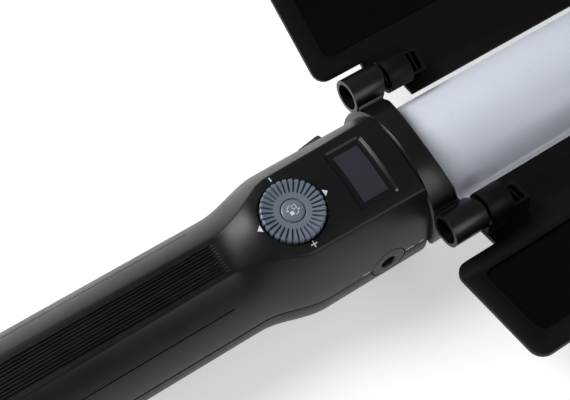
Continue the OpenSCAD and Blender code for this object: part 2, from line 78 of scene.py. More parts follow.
# Faces of a block whose eight corners are listed by their low and high ends, the last axis first.
BLOCK_FACES = [[0, 1, 3, 2], [4, 6, 7, 5], [0, 4, 5, 1], [2, 3, 7, 6], [0, 2, 6, 4], [1, 5, 7, 3]]


# ---------------------------------------------------------------- small helpers


def linear(hex_colour: str) -> tuple[float, float, float, float]:
    """Turn an sRGB hex colour into linear light.

    Args:
        hex_colour: six hex digits with a leading hash.

    Returns:
        Linear red, green, blue and an alpha of one.
    """
    parts = [int(hex_colour[i : i + 2], 16) / 255 for i in (1, 3, 5)]
    light = [c / 12.92 if c <= 0.04045 else ((c + 0.055) / 1.055) ** 2.4 for c in parts]
    return (light[0], light[1], light[2], 1.0)


def smooth(x: float, low: float, high: float) -> float:
    """Ease from 0 at low to 1 at high.

    Args:
        x: where to look.
        low: last place that gives 0.
        high: first place that gives 1.

    Returns:
        The eased value.
    """
    s = min(1.0, max(0.0, (x - low) / (high - low)))
    return s * s * (3 - 2 * s)


def mix(a: float, b: float, s: float) -> float:
    """Blend from a, where s is 0, to b, where s is 1."""
    return a + (b - a) * s


@dataclass(frozen=True)
class Layout:
    """Where the wand's own coordinates lie in the row frame.

    Attributes:
        collar: row x of the rear collar's plane, in metres.
        axis: row height of the tube's axis, in metres.
        lamp: distance between the two collar planes, in mm. Not used.
    """

    collar: float
    axis: float
    lamp: float

    @classmethod
    def from_frame(cls) -> "Layout":
        """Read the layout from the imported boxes."""
        overlap = 1.5 * MM
        rear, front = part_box("rear_bracket")[0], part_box("front_bracket")[1]
        low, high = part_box("diffuser_tube")
        collar = rear.x + overlap
        return cls(collar, (low.z + high.z) / 2, (front.x - overlap - collar) / MM)

    def at(self, x: float, y: float, z: float) -> Vector:
        """Give the row point of a wand point in mm."""
        return Vector((self.collar + x * MM, y * MM, self.axis + z * MM))


LAYOUT = Layout.from_frame()


# ---------------------------------------------------------------- meshes


def place_shape(name: str, shape: bmesh.types.BMesh) -> Mesh:
    """Turn an edited mesh into an object of the scene, and free it.

    Args:
        name: the piece's name.
        shape: the edited mesh.

    Returns:
        The new object, linked to the scene.
    """
    data = bpy.data.meshes.new(name)
    shape.to_mesh(data)
    shape.free()
    piece = bpy.data.objects.new(name, data)
    bpy.context.scene.collection.objects.link(piece)
    return piece


def make_mesh(name: str, points: Sequence[Vector], faces: Iterable[Sequence[int]]) -> Mesh:
    """Make an object from points and faces, with its faces turned outwards.

    Args:
        name: the piece's name.
        points: row points in metres.
        faces: index lists.

    Returns:
        The new object, linked to the scene.
    """
    data = bpy.data.meshes.new(name)
    data.from_pydata([tuple(p) for p in points], [], [list(f) for f in faces])
    shape = bmesh.new()
    shape.from_mesh(data)
    bmesh.ops.remove_doubles(shape, verts=shape.verts, dist=1e-7)
    bmesh.ops.recalc_face_normals(shape, faces=shape.faces)
    shape.to_mesh(data)
    shape.free()
    piece = bpy.data.objects.new(name, data)
    bpy.context.scene.collection.objects.link(piece)
    return piece


def loft(name: str, rings: Sequence[Sequence[Vector]], closed: bool = False) -> Mesh:
    """Skin through rings that all have the same number of points.

    Args:
        name: the piece's name.
        rings: closed outlines in order.
        closed: whether the last ring joins the first, as in a torus; else both ends are capped.

    Returns:
        A closed solid.
    """
    count = len(rings[0])
    points = [p for ring in rings for p in ring]
    spans = len(rings) if closed else len(rings) - 1
    faces: list[list[int]] = []
    for j in range(spans):
        a, b = j * count, (j + 1) % len(rings) * count
        for i in range(count):
            k = (i + 1) % count
            faces.append([a + i, a + k, b + k, b + i])
    if not closed:
        faces.append(list(range(count - 1, -1, -1)))
        faces.append([(len(rings) - 1) * count + i for i in range(count)])
    return make_mesh(name, points, faces)


def turned_x(name: str, profile: Sequence[Point2], steps: int = 128) -> Mesh:
    """Turn a closed profile of (x, radius) about the tube's axis.

    Args:
        name: the piece's name.
        profile: the profile's points in mm.
        steps: sections round the axis.

    Returns:
        The closed solid.
    """
    rings = []
    for i in range(steps):
        a = 2 * math.pi * i / steps
        rings.append([LAYOUT.at(x, r * math.cos(a), r * math.sin(a)) for x, r in profile])
    return loft(name, rings, closed=True)


def cylinder(name: str, start: Vector, end: Vector, radius: float, steps: int = 64) -> Mesh:
    """Make a rod between two row points, with its radius in metres."""
    along = (end - start).normalized()
    side = along.orthogonal().normalized()
    up = along.cross(side)
    turns = [2 * math.pi * i / steps for i in range(steps)]
    rings = [[c + (side * math.cos(t) + up * math.sin(t)) * radius for t in turns]
             for c in (start, end)]
    return loft(name, rings)


def block(name: str, low: Vector, high: Vector, turn: Matrix | None = None,
          about: Vector | None = None) -> Mesh:
    """Make a cutting block between two corners, turned about a point where one is given."""
    corners = [Vector((x, y, z)) for x in (low.x, high.x) for y in (low.y, high.y)
               for z in (low.z, high.z)]
    if turn is not None and about is not None:
        corners = [about + turn @ (c - about) for c in corners]
    return make_mesh(name, corners, BLOCK_FACES)


def bake_modifiers(piece: Mesh) -> None:
    """Replace a piece's mesh with the result of its modifiers."""
    bpy.context.view_layer.update()
    graph = bpy.context.evaluated_depsgraph_get()
    data = bpy.data.meshes.new_from_object(piece.evaluated_get(graph))
    piece.modifiers.clear()
    piece.data = data


def join(name: str, pieces: Sequence[Mesh]) -> Mesh:
    """Put several pieces' meshes into one object."""
    shape = bmesh.new()
    for piece in pieces:
        shape.from_mesh(piece.data)
    for piece in pieces:
        bpy.data.objects.remove(piece)
    return place_shape(name, shape)


def carve(piece: Mesh, cutter: Mesh) -> None:
    """Cut one solid from another and remove the cutter.

    Args:
        piece: the solid that is cut.
        cutter: the solid that is taken away.
    """
    change = piece.modifiers.new("carve", "BOOLEAN")
    change.operation = "DIFFERENCE"
    change.solver = "MANIFOLD"
    change.object = cutter
    bake_modifiers(piece)
    bpy.data.objects.remove(cutter)


def soften(piece: Mesh, angle: float = 32) -> Mesh:
    """Shade a mesh smoothly, with its real edges kept sharp.

    Args:
        piece: the piece to shade.
        angle: edges sharper than this, in degrees, stay sharp.

    Returns:
        The same piece.
    """
    piece.data.shade_smooth()
    piece.data.set_sharp_from_angle(angle=math.radians(angle))
    return piece


def eased_copy(name: str, node: str, radius: float, segments: int = 2, angle: float = 38) -> Mesh:
    """Copy a CAD node's exact shape and round its hard edges, as a mould or a tumbler does.

    Args:
        name: the piece's name.
        node: the CAD node to copy.
        radius: edge radius in mm.
        segments: facets across the rounded edge.
        angle: only edges sharper than this, in degrees, are rounded.

    Returns:
        The detailed piece, which replaces the node and rides on its body.
    """
    shape = bmesh.new()
    shape.from_mesh(frame["nodes"][node].data)
    bmesh.ops.remove_doubles(shape, verts=shape.verts, dist=2e-6)
    bmesh.ops.dissolve_limit(shape, angle_limit=math.radians(0.6), verts=shape.verts,
                             edges=shape.edges)
    piece = place_shape(name, shape)
    bevel = piece.modifiers.new("ease", "BEVEL")
    bevel.width = radius * MM
    bevel.segments = segments
    bevel.limit_method = "ANGLE"
    bevel.angle_limit = math.radians(angle)
    bevel.use_clamp_overlap = True
    bake_modifiers(piece)
    soften(piece)
    adopt(piece, frame["nodes"][node]["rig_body"], node)
    return piece


def adopt(piece: Mesh, body: str, *nodes: str) -> None:
    """Let a piece ride on a body and stand for CAD nodes, where any are named.

    Args:
        piece: the new piece.
        body: the body that it rides on.
        *nodes: the CAD nodes that it takes the place of.
    """
    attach(piece, body)
    if nodes:
        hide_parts(*nodes)


# ---------------------------------------------------------------- finishes


def add(tree: bpy.types.NodeTree, kind: str, links: dict[str, bpy.types.NodeSocket] | None = None,
        values: dict[str, object] | None = None, **settings: object) -> bpy.types.Node:
    """Add a shader node.

    Args:
        tree: the material's node tree.
        kind: the node's type name.
        links: input name to the output that feeds it.
        values: input name to its plain value.
        **settings: the node's own properties.

    Returns:
        The new node.
    """
    made = tree.nodes.new(kind)
    for key, setting in settings.items():
        setattr(made, key, setting)
    for key, value in (values or {}).items():
        made.inputs[key].default_value = value
    for key, socket in (links or {}).items():
        tree.links.new(socket, made.inputs[key])
    return made


def new_material(name: str) -> tuple[bpy.types.Material, bpy.types.NodeTree]:
    """Make an empty node material."""
    material = bpy.data.materials.new(name)
    material.use_nodes = True
    material.node_tree.nodes.clear()
    return material, material.node_tree


@dataclass(frozen=True)
class Finish:
    """A finish that starts from one surface and varies a little over it.

    Attributes:
        name: the material's and the process's common name.
        colour: main colour, sRGB hex.
        worn: colour that the unevenness leans to, sRGB hex.
        rough: mean roughness.
        spread: how far the roughness wanders each way.
        grain: size of the surface texture in mm.
        depth: height of that texture in mm.
        cloud: size of the slow unevenness in mm.
        metal: whether the surface is bare metal.
        ior: index of refraction, which a metal leaves at the default.
        coat: strength of a clear coat.
        scatter: how much light enters the surface and leaves it again.
        glow: light that the surface gives off.
    """

    name: str
    colour: str
    worn: str
    rough: float
    spread: float = 0.04
    grain: float = 0.5
    depth: float = 0.01
    cloud: float = 14
    metal: bool = False
    ior: float = 1.5
    coat: float = 0
    scatter: float = 0
    glow: float = 0

    def texture(self, tree: bpy.types.NodeTree, place: bpy.types.NodeSocket) -> bpy.types.NodeSocket:
        """Give the height of the fine texture, 0 to 1."""
        noise = add(tree, "ShaderNodeTexNoise", {"Vector": place},
                    {"Scale": 1 / (self.grain * MM), "Detail": 3.0, "Roughness": 0.6})
        return noise.outputs["Fac"]

    def make(self) -> bpy.types.Material:
        """Build the material."""
        material, tree = new_material(self.name)
        place = add(tree, "ShaderNodeTexCoord").outputs["Object"]
        cloud = add(tree, "ShaderNodeTexNoise", {"Vector": place},
                    {"Scale": 1 / (self.cloud * MM), "Detail": 4.0, "Roughness": 0.55})
        height = self.texture(tree, place)
        tint = add(tree, "ShaderNodeMix", {"Factor": cloud.outputs["Fac"]}, data_type="RGBA")
        first, second = 6, 7  # the two colour inputs share their names with other inputs
        tint.inputs[first].default_value = linear(self.colour)
        tint.inputs[second].default_value = linear(self.worn)
        rough = add(tree, "ShaderNodeMapRange", {"Value": cloud.outputs["Fac"]},
                    {"From Min": 0.3, "From Max": 0.7, "To Min": self.rough - self.spread,
                     "To Max": self.rough + self.spread})
        bump = add(tree, "ShaderNodeBump", {"Height": height},
                   {"Strength": 1.0, "Distance": self.depth * MM})
        surface = add(tree, "ShaderNodeBsdfPrincipled",
                      {"Base Color": tint.outputs[2], "Roughness": rough.outputs["Result"],
                       "Normal": bump.outputs["Normal"]},
                      {"Metallic": 1.0 if self.metal else 0.0, "IOR": self.ior,
                       "Coat Weight": self.coat, "Emission Strength": self.glow})
        if self.scatter:
            surface.inputs["Subsurface Weight"].default_value = self.scatter
            surface.inputs["Subsurface Radius"].default_value = (1.0, 1.0, 1.0)
            surface.inputs["Subsurface Scale"].default_value = 2 * MM
        add(tree, "ShaderNodeOutputMaterial", {"Surface": surface.outputs["BSDF"]})
        return material


@dataclass(frozen=True)
class Turned(Finish):
    """A turned metal part whose surface shows the tool's rings.

    Attributes:
        pitch: distance between two rings in mm.
    """

    pitch: float = 0.8

    def texture(self, tree: bpy.types.NodeTree, place: bpy.types.NodeSocket) -> bpy.types.NodeSocket:
        """Give rings across the part's axis at the tool's feed."""
        wave = add(tree, "ShaderNodeTexWave", {"Vector": place},
                   {"Scale": math.pi / (10 * self.pitch * MM), "Distortion": 0.4},
                   wave_type="BANDS", bands_direction="X")
        return wave.outputs["Fac"]


# Shell: spark-eroded ABS, satin and faintly mottled, so highlights break up softly.
SHELL_ABS = Finish("spark eroded black ABS", "#040508", "#08090c", 0.38, 0.04, 0.45, 0.008,
                   ior=1.42)
# Power slider: the same plastic in grey.
SLIDER_ABS = Finish("spark eroded grey ABS", "#3c3e42", "#45474b", 0.4, 0.04, 0.45, 0.006)
# Brackets: glass-filled nylon, darker and a little glossier on its rounded edges.
BRACKET_NYLON = Finish("glass filled black nylon", "#050607", "#090a0b", 0.3, 0.05, 0.5, 0.006)
# Doors: matt-lacquered black sheet that returns almost no light.
DOOR_LACQUER = Finish("matt black door lacquer", "#020203", "#040405", 0.5, 0.05, 0.5, 0.008,
                      ior=1.3)
DOOR_PANEL = Finish("anodised black door sheet", "#010102", "#020203", 0.44, 0.04, 0.4, 0.006,
                    ior=1.2)
# Dial and button: moulded blue-grey polycarbonate, smoother than the shell.
DIAL_PC = Finish("moulded blue grey polycarbonate", "#65707e", "#6f7a88", 0.28, 0.04, 0.4, 0.005)
# Prints: pad-printed light grey ink, flat.
PRINT_INK = Finish("pad printed grey ink", "#d9dce0", "#c9ccd0", 0.6, 0.05, 0.3, 0.004)
# Display: tinted acrylic, polished, with a clear hard coat.
SCREEN = Finish("tinted polished acrylic", "#2f2a35", "#332e39", 0.2, 0.02, 3, 0.001, coat=0.2)
# Tube: opal acrylic that scatters the light inside it, with a satin skin.
OPAL = Finish("opal satin acrylic", "#cfd5e1", "#d6dbe6", 0.3, 0.03, 0.8, 0.003, scatter=0.4)
# Hinge screws and washers: chemically blackened steel.
BLACK_STEEL = Finish("black oxide steel", "#101114", "#17181b", 0.35, 0.06, 0.4, 0.006, 6, True)
# Case screws: zinc-plated steel.
STEEL = Finish("zinc plated steel", "#a4a7ab", "#8d9094", 0.3, 0.08, 0.4, 0.01, 6, True)
# Thread inserts: turned brass with the tool's rings.
BRASS = Turned("turned brass", "#c7a252", "#b08a40", 0.28, 0.06, 0.5, 0.02, 6, True)
# Spine that carries the light board: extruded aluminium, left bare.
ALUMINIUM = Finish("extruded aluminium", "#b9bcc1", "#a9acb2", 0.36, 0.06, 0.6, 0.01, 20, True)
# Door bushes: turned acetal.
ACETAL = Finish("turned natural acetal", "#dcdad2", "#d2d0c8", 0.4, 0.04, 0.4, 0.005)
# Boards, components, cells and light chips, all inside the wand.
BOARD = Finish("green solder mask", "#1f5a36", "#246640", 0.3, 0.05, 0.7, 0.004)
WHITE_BOARD = Finish("white solder mask", "#e8e6df", "#dedcd4", 0.4, 0.05, 0.7, 0.004)
COMPONENT = Finish("black epoxy moulding", "#24262b", "#2c2e33", 0.5, 0.05, 0.4, 0.006)
SLEEVE = Finish("blue shrink sleeve", "#3c5f8a", "#466a96", 0.25, 0.04, 2, 0.01)
PHOSPHOR = Finish("yellow phosphor silicone", "#f2d879", "#ecd06c", 0.3, 0.03, 0.4, 0.004)
# Floor: backlit white paper, as on a light table, so that shadows stay soft and pale.
FLOOR = Finish("backlit white paper", "#f4f4f4", "#f7f7f7", 0.9, 0.02, 2, 0.001, 300, glow=0.42)


class Workshop:
    """Makes each finish once and puts it on pieces."""

    def __init__(self) -> None:
        """Start with no finish made."""
        self.made: dict[str, bpy.types.Material] = {}

    def paint(self, piece: Mesh, finish: Finish) -> Mesh:
        """Give a piece one finish.

        Args:
            piece: the piece to paint.
            finish: its finish.

        Returns:
            The same piece.
        """
        if finish.name not in self.made:
            self.made[finish.name] = finish.make()
        piece.data.materials.clear()
        piece.data.materials.append(self.made[finish.name])
        LOG.info("%s: %s", piece.name, finish.name)
        return piece


# ---------------------------------------------------------------- handle


class Half(Enum):
    """The two shells of the handle."""

    UPPER = 1
    LOWER = -1


@dataclass(frozen=True)
class HandleForm:
    """The handle's outer form, as sections along x. All sizes are in mm.

    Attributes:
        length: rear face of the cap to the collar.
        cap: thickness of the rear cap.
        grip_w, grip_z, grip_a: grip's half width, height of its flat, half width of its flat.
        head_w, head_z, head_a: the same for the head.
        crown: rise of the head's top in its middle.
        flare_start, flare_end: where the flare begins and ends.
        wall: shell thickness.
        dial_x: dial centre behind the collar.
        grooves, pitch, groove_w, groove_depth, groove_end: the ribbed band.
        front: front end of the shells.
        bulge: how much fuller the lower half's sides are.
        rim: height of the plain band beside the parting line.
        ease: room for the rounded edge of the flat.
    """

    length: float = 195
    cap: float = 5
    grip_w: float = 24.7
    grip_z: float = 25.1
    grip_a: float = 8.2
    head_w: float = 30.15
    head_z: float = 28.65
    head_a: float = 18
    crown: float = 2.55
    flare_start: float = 79
    flare_end: float = 51
    wall: float = 2.2
    dial_x: float = 52.2
    grooves: int = 10
    pitch: float = 1.3
    groove_w: float = 0.62
    groove_depth: float = 0.6
    groove_end: float = 84
    front: float = -1.7
    bulge: float = 1.9
    rim: float = 0.75
    ease: float = 0.7

    @property
    def flare_x(self) -> tuple[float, float]:
        """Where the flat leaves the grip's band and where it meets the head's round end."""
        return -self.flare_start - 5, -self.dial_x - 8

    def width(self, x: float) -> float:
        """Half width at the parting plane."""
        return mix(self.grip_w, self.head_w, smooth(x, -self.flare_start, -self.flare_end))

    def power(self, x: float, upper: bool) -> float:
        """How square the section is. The lower half is boxier than the upper."""
        return mix(1.55, 1.45, smooth(x, -self.flare_start, -self.flare_end)) if upper else 2.3

    @staticmethod
    def full_height(w: float, a: float, z: float, power: float) -> float:
        """Height at which a side curve through the flat's edge would meet the middle.

        Args:
            w: half width at the parting plane.
            a: half width of the flat.
            z: height of the flat's edge.
            power: how square the curve is.

        Returns:
            The curve's own height.
        """
        return z / (1 - (a / w) ** power) ** (1 / power)

    def swell(self, u: float) -> float:
        """How far the lower half stands out at a share u of its curve's height."""
        return 4 * self.bulge * u * (1 - u)

    def side(self, x: float, inset: float, upper: bool, count: int) -> list[Point2]:
        """Points of one side, from the parting plane to the edge of the flat.

        Args:
            x: station along the handle.
            inset: distance inside the outer surface.
            upper: which half the side is on.
            count: number of steps.

        Returns:
            Points (y, z).
        """
        power = self.power(x, upper)
        w, a, z = self.width(x) - inset, self.flat(x) - 0.5 * inset, self.edge(x) - inset
        h = self.full_height(w, a, z, power)
        first = math.asin((self.rim / h) ** (power / 2)) if inset == 0 else 0.0
        last = math.asin((z / h) ** (power / 2)) - self.ease / (h * 1.2)
        points = []
        for i in range(count + 1):
            t = mix(first, last, i / count)
            u = math.sin(t) ** (2 / power)
            out = 0 if upper else self.swell(u)
            points.append((w * math.cos(t) ** (2 / power) + out, h * u))
        return points

    def flat(self, x: float) -> float:
        """Half width of the flat on top."""
        start, end = self.flare_x
        if x >= -self.dial_x:
            return self.head_a + 0.7 * (x + self.dial_x) / self.dial_x
        if x >= end:
            return math.sqrt(self.head_a**2 - (x + self.dial_x) ** 2)
        if x < start:
            return self.grip_a + 0.6 * (start - x) / 70
        s, wide = (x - start) / (end - start), math.sqrt(self.head_a**2 - (end + self.dial_x) ** 2)
        lean = (end - start) * -(end + self.dial_x) / wide
        ease = 3 * s * s - 2 * s**3
        return mix(self.grip_a, wide, ease) + lean * (s**3 - s * s)

    def rise(self, x: float) -> float:
        """How far the form has turned from grip to head, 0 to 1."""
        return smooth(x, self.flare_x[0], -self.dial_x - 12)

    def edge(self, x: float) -> float:
        """Height of the flat's edge."""
        return mix(self.grip_z, self.head_z, self.rise(x))

    def top(self, x: float, y: float) -> float:
        """Height of the crowned top, without its grooves."""
        return self.edge(x) + mix(0.1, self.crown, self.rise(x)) * (1 - (y / self.flat(x)) ** 2)

    def groove(self, x: float, y: float) -> float:
        """Depth of the ribbed band's grooves."""
        nearest = round(y / self.pitch - 0.5) + 0.5
        if abs(nearest) > self.grooves / 2:
            return 0
        off = abs(y - nearest * self.pitch)
        ends = smooth(-x, self.groove_end, self.groove_end + 3)
        ends *= smooth(x, -self.length + 11.5, -self.length + 12.6)
        return self.groove_depth * ends * (1 - smooth(off, self.groove_w * 0.3, self.groove_w * 0.62))

    def section(self, x: float, inset: float, crowned: bool, low: Sequence[Point2]) -> list[Point2]:
        """Outline of one half, round from its right rim over the top to its left rim.

        Args:
            x: station along the handle.
            inset: distance inside the outer surface.
            crowned: whether the top has its crown and grooves.
            low: rim points below the side curve, as (inset from the side, height).

        Returns:
            Points (y, z).
        """
        w, a, z = self.width(x) - inset, self.flat(x) - 0.5 * inset, self.edge(x) - inset
        across, share = 150, 0.85
        right = self.side(x, inset, crowned, 20)
        if not crowned:
            a += self.swell(share)

        def over(y: float) -> float:
            """Height of the top at y."""
            if not crowned:
                return z
            dig = self.groove(x, y) if inset == 0 else 0
            return self.top(x, min(a, abs(y))) - inset - dig

        span = a - self.ease
        top = [(span * (1 - 2 * i / across), over(span * (1 - 2 * i / across)))
               for i in range(across + 1)]
        bend = []
        for t in (0.25, 0.5, 0.75):
            p, q, r = right[-1], (a, z), top[0]
            bend.append(tuple((1 - t) ** 2 * p[k] + 2 * t * (1 - t) * q[k] + t * t * r[k]
                              for k in (0, 1)))
        rim = [(w - d, h0) for d, h0 in low]
        half = rim + right + bend
        return half + top + [(-y, height) for y, height in reversed(half)]

    def stations(self, start: float) -> list[float]:
        """Places of the sections: close where the form turns or a groove ends."""
        straight = [start, start + 1, start + 5]
        rear_ends = [-self.length + 11.2 + 0.3 * i for i in range(6)]
        grip = [-170.0, -150.0, -130.0, -110.0, -95.0, -90.0, -87.6]
        front_ends = [-87.0 + 0.5 * i for i in range(7)]
        flare = [-83.2 + 0.75 * i for i in range(44)]
        head = [-50.0, -46.0, -40.0, -30.0, -20.0, -10.0, -4.0]
        return straight + rear_ends + grip + front_ends + flare + head


@dataclass
class HandleShells:
    """The two shells, with every opening that lets something out of the handle. Sizes in mm.

    Attributes:
        form: the handle's outer form.
        dial_well: radius of the well round the dial.
        display: the pocket's two ends along x and its half width.
        jack: the inlet's place along x and the radius of its seat.
        slider: the slider opening's two ends along x and its half height.
        tube: radius of the bore for the tube.
        side_deep, side_tall, side_tilt: depth, half height and tilt in degrees of the side grooves.
    """

    form: HandleForm = HandleForm()
    dial_well: float = 13.6
    display: tuple[float, float, float] = (-28.9, -11.35, 14.06)
    jack: Point2 = (-21.6, 8.4)
    slider: tuple[float, float, float] = (-28.6, -11.6, 4.2)
    tube: float = 25.2
    side_deep: float = 0.9
    side_tall: float = 0.28
    side_tilt: float = 36

    def skin(self, name: str, half: Half, inset: float, start: float, end: float) -> Mesh:
        """Loft one half's solid.

        Args:
            name: the piece's name.
            half: which shell.
            inset: distance inside the outer surface.
            start: first station.
            end: last station.

        Returns:
            The closed solid.
        """
        low = [(0.6, 0.2), (0.6, 0.28), (0.14, 0.36)] if inset == 0 else [(0.0, -2.0), (0.0, -1.0)]
        rings = []
        places = self.form.stations(start) + [end]
        for x in places:
            outline = self.form.section(x, inset, half is Half.UPPER, low)
            rings.append([LAYOUT.at(x, y, half.value * z) for y, z in outline])
        return loft(name, rings)

    def following(self, name: str, outline: Callable[[float], list[Point2]],
                  steps: Sequence[tuple[float, float, bool]]) -> Mesh:
        """Make a cutter whose rim follows the crowned top.

        Args:
            name: the cutter's name.
            outline: gives the outline pushed out by a distance.
            steps: (push out, height, whether the height is above the surface).

        Returns:
            The cutter.
        """
        rings = []
        for push, height, on_top in steps:
            ring = []
            for x, y in outline(push):
                base = self.form.top(x, min(abs(y), self.form.flat(x))) if on_top else 0
                ring.append(LAYOUT.at(x, y, base + height))
            rings.append(ring)
        return loft(name, rings)

    def dial_cutter(self) -> Mesh:
        """Round well with a small lip, down into the handle."""
        def ring(push: float) -> list[Point2]:
            """Circle about the dial's centre."""
            r = self.dial_well + push
            return [(-self.form.dial_x + r * math.cos(t), r * math.sin(t))
                    for t in (2 * math.pi * i / 96 for i in range(96))]
        floor = self.form.head_z - 12
        return self.following("dial_cutter", ring, [(0.5, 3.0, True), (0.5, 0.06, True),
                              (0.32, -0.08, True), (0.1, -0.3, True), (0.0, -0.6, True),
                              (0.0, floor, False)])

    def display_cutter(self) -> Mesh:
        """Pocket with rounded corners whose sides slope in to the screen."""
        x0, x1, w = self.display

        def ring(push: float) -> list[Point2]:
            """Rounded rectangle about the display."""
            r = max(0.35, 1.5 + push)
            corners = ((x1 - r + push, w - r + push, 0), (x0 + r - push, w - r + push, 90),
                       (x0 + r - push, -w + r - push, 180), (x1 - r + push, -w + r - push, 270))
            bends = [(cx + r * math.cos(math.radians(turn + 11.25 * i)),
                      cy + r * math.sin(math.radians(turn + 11.25 * i)))
                     for cx, cy, turn in corners for i in range(9)]
            outline = []
            for i, (x, y) in enumerate(bends):
                nx, ny = bends[(i + 1) % len(bends)]
                parts = 12 if i % 9 == 8 else 1
                outline += [(mix(x, nx, k / parts), mix(y, ny, k / parts)) for k in range(parts)]
            return outline
        return self.following("display_cutter", ring, [(0.35, 3.0, True), (0.35, 0.05, True),
                              (0.12, -0.08, True), (0.0, -0.2, True), (-0.7, -0.8, True),
                              (-0.9, -0.9, True), (-2.9, -0.9, True),
                              (-2.95, self.form.head_z - 6, False)])

    def cutters(self, half: Half) -> Mesh:
        """Join every opening of one shell into one cutter."""
        form = self.form
        x, r = self.jack
        rear, front, tall = self.slider
        past, within = 4, form.wall + 2
        made = [
            cylinder("jack_cutter", LAYOUT.at(x, -form.head_w - past, 0),
                     LAYOUT.at(x, -form.head_w + within, 0), r * MM, 96),
            block("slider_cutter", LAYOUT.at(rear, form.head_w - within, -tall),
                  LAYOUT.at(front, form.head_w + past, tall)),
            cylinder("tube_cutter", LAYOUT.at(-5.2, 0, 0), LAYOUT.at(2, 0, 0), self.tube * MM, 128),
        ]
        if half is Half.LOWER:
            return join("cutters", made)
        for side in (1, -1):
            about = LAYOUT.at(-form.length + 8, side * (form.grip_w - 6.7), form.grip_z - 9.6)
            low = about + Vector((0, -self.side_deep, -self.side_tall)) * MM
            high = about + Vector((1, 3, self.side_tall)) * MM
            high.x = LAYOUT.at(-form.groove_end - 5, 0, 0).x
            turn = Matrix.Rotation(math.radians(self.side_tilt if side > 0 else 180 - self.side_tilt), 3,
                                   "X")
            made.append(block("side_cutter", low, high, turn, about))
        return join("cutters", made + [self.dial_cutter(), self.display_cutter()])

    def build(self, shop: Workshop) -> None:
        """Make both shells."""
        rear = -self.form.length + self.form.cap
        for half, node in ((Half.UPPER, "upper_shell"), (Half.LOWER, "lower_shell")):
            shell = self.skin(node + "_moulding", half, 0, rear, self.form.front)
            inside = self.skin("inside", half, self.form.wall, rear - 2,
                               self.form.front - 2.5)
            carve(shell, inside)
            carve(shell, self.cutters(half))
            soften(shell, 28)
            adopt(shell, "wand", node)
            shop.paint(shell, SHELL_ABS)


# ---------------------------------------------------------------- controls


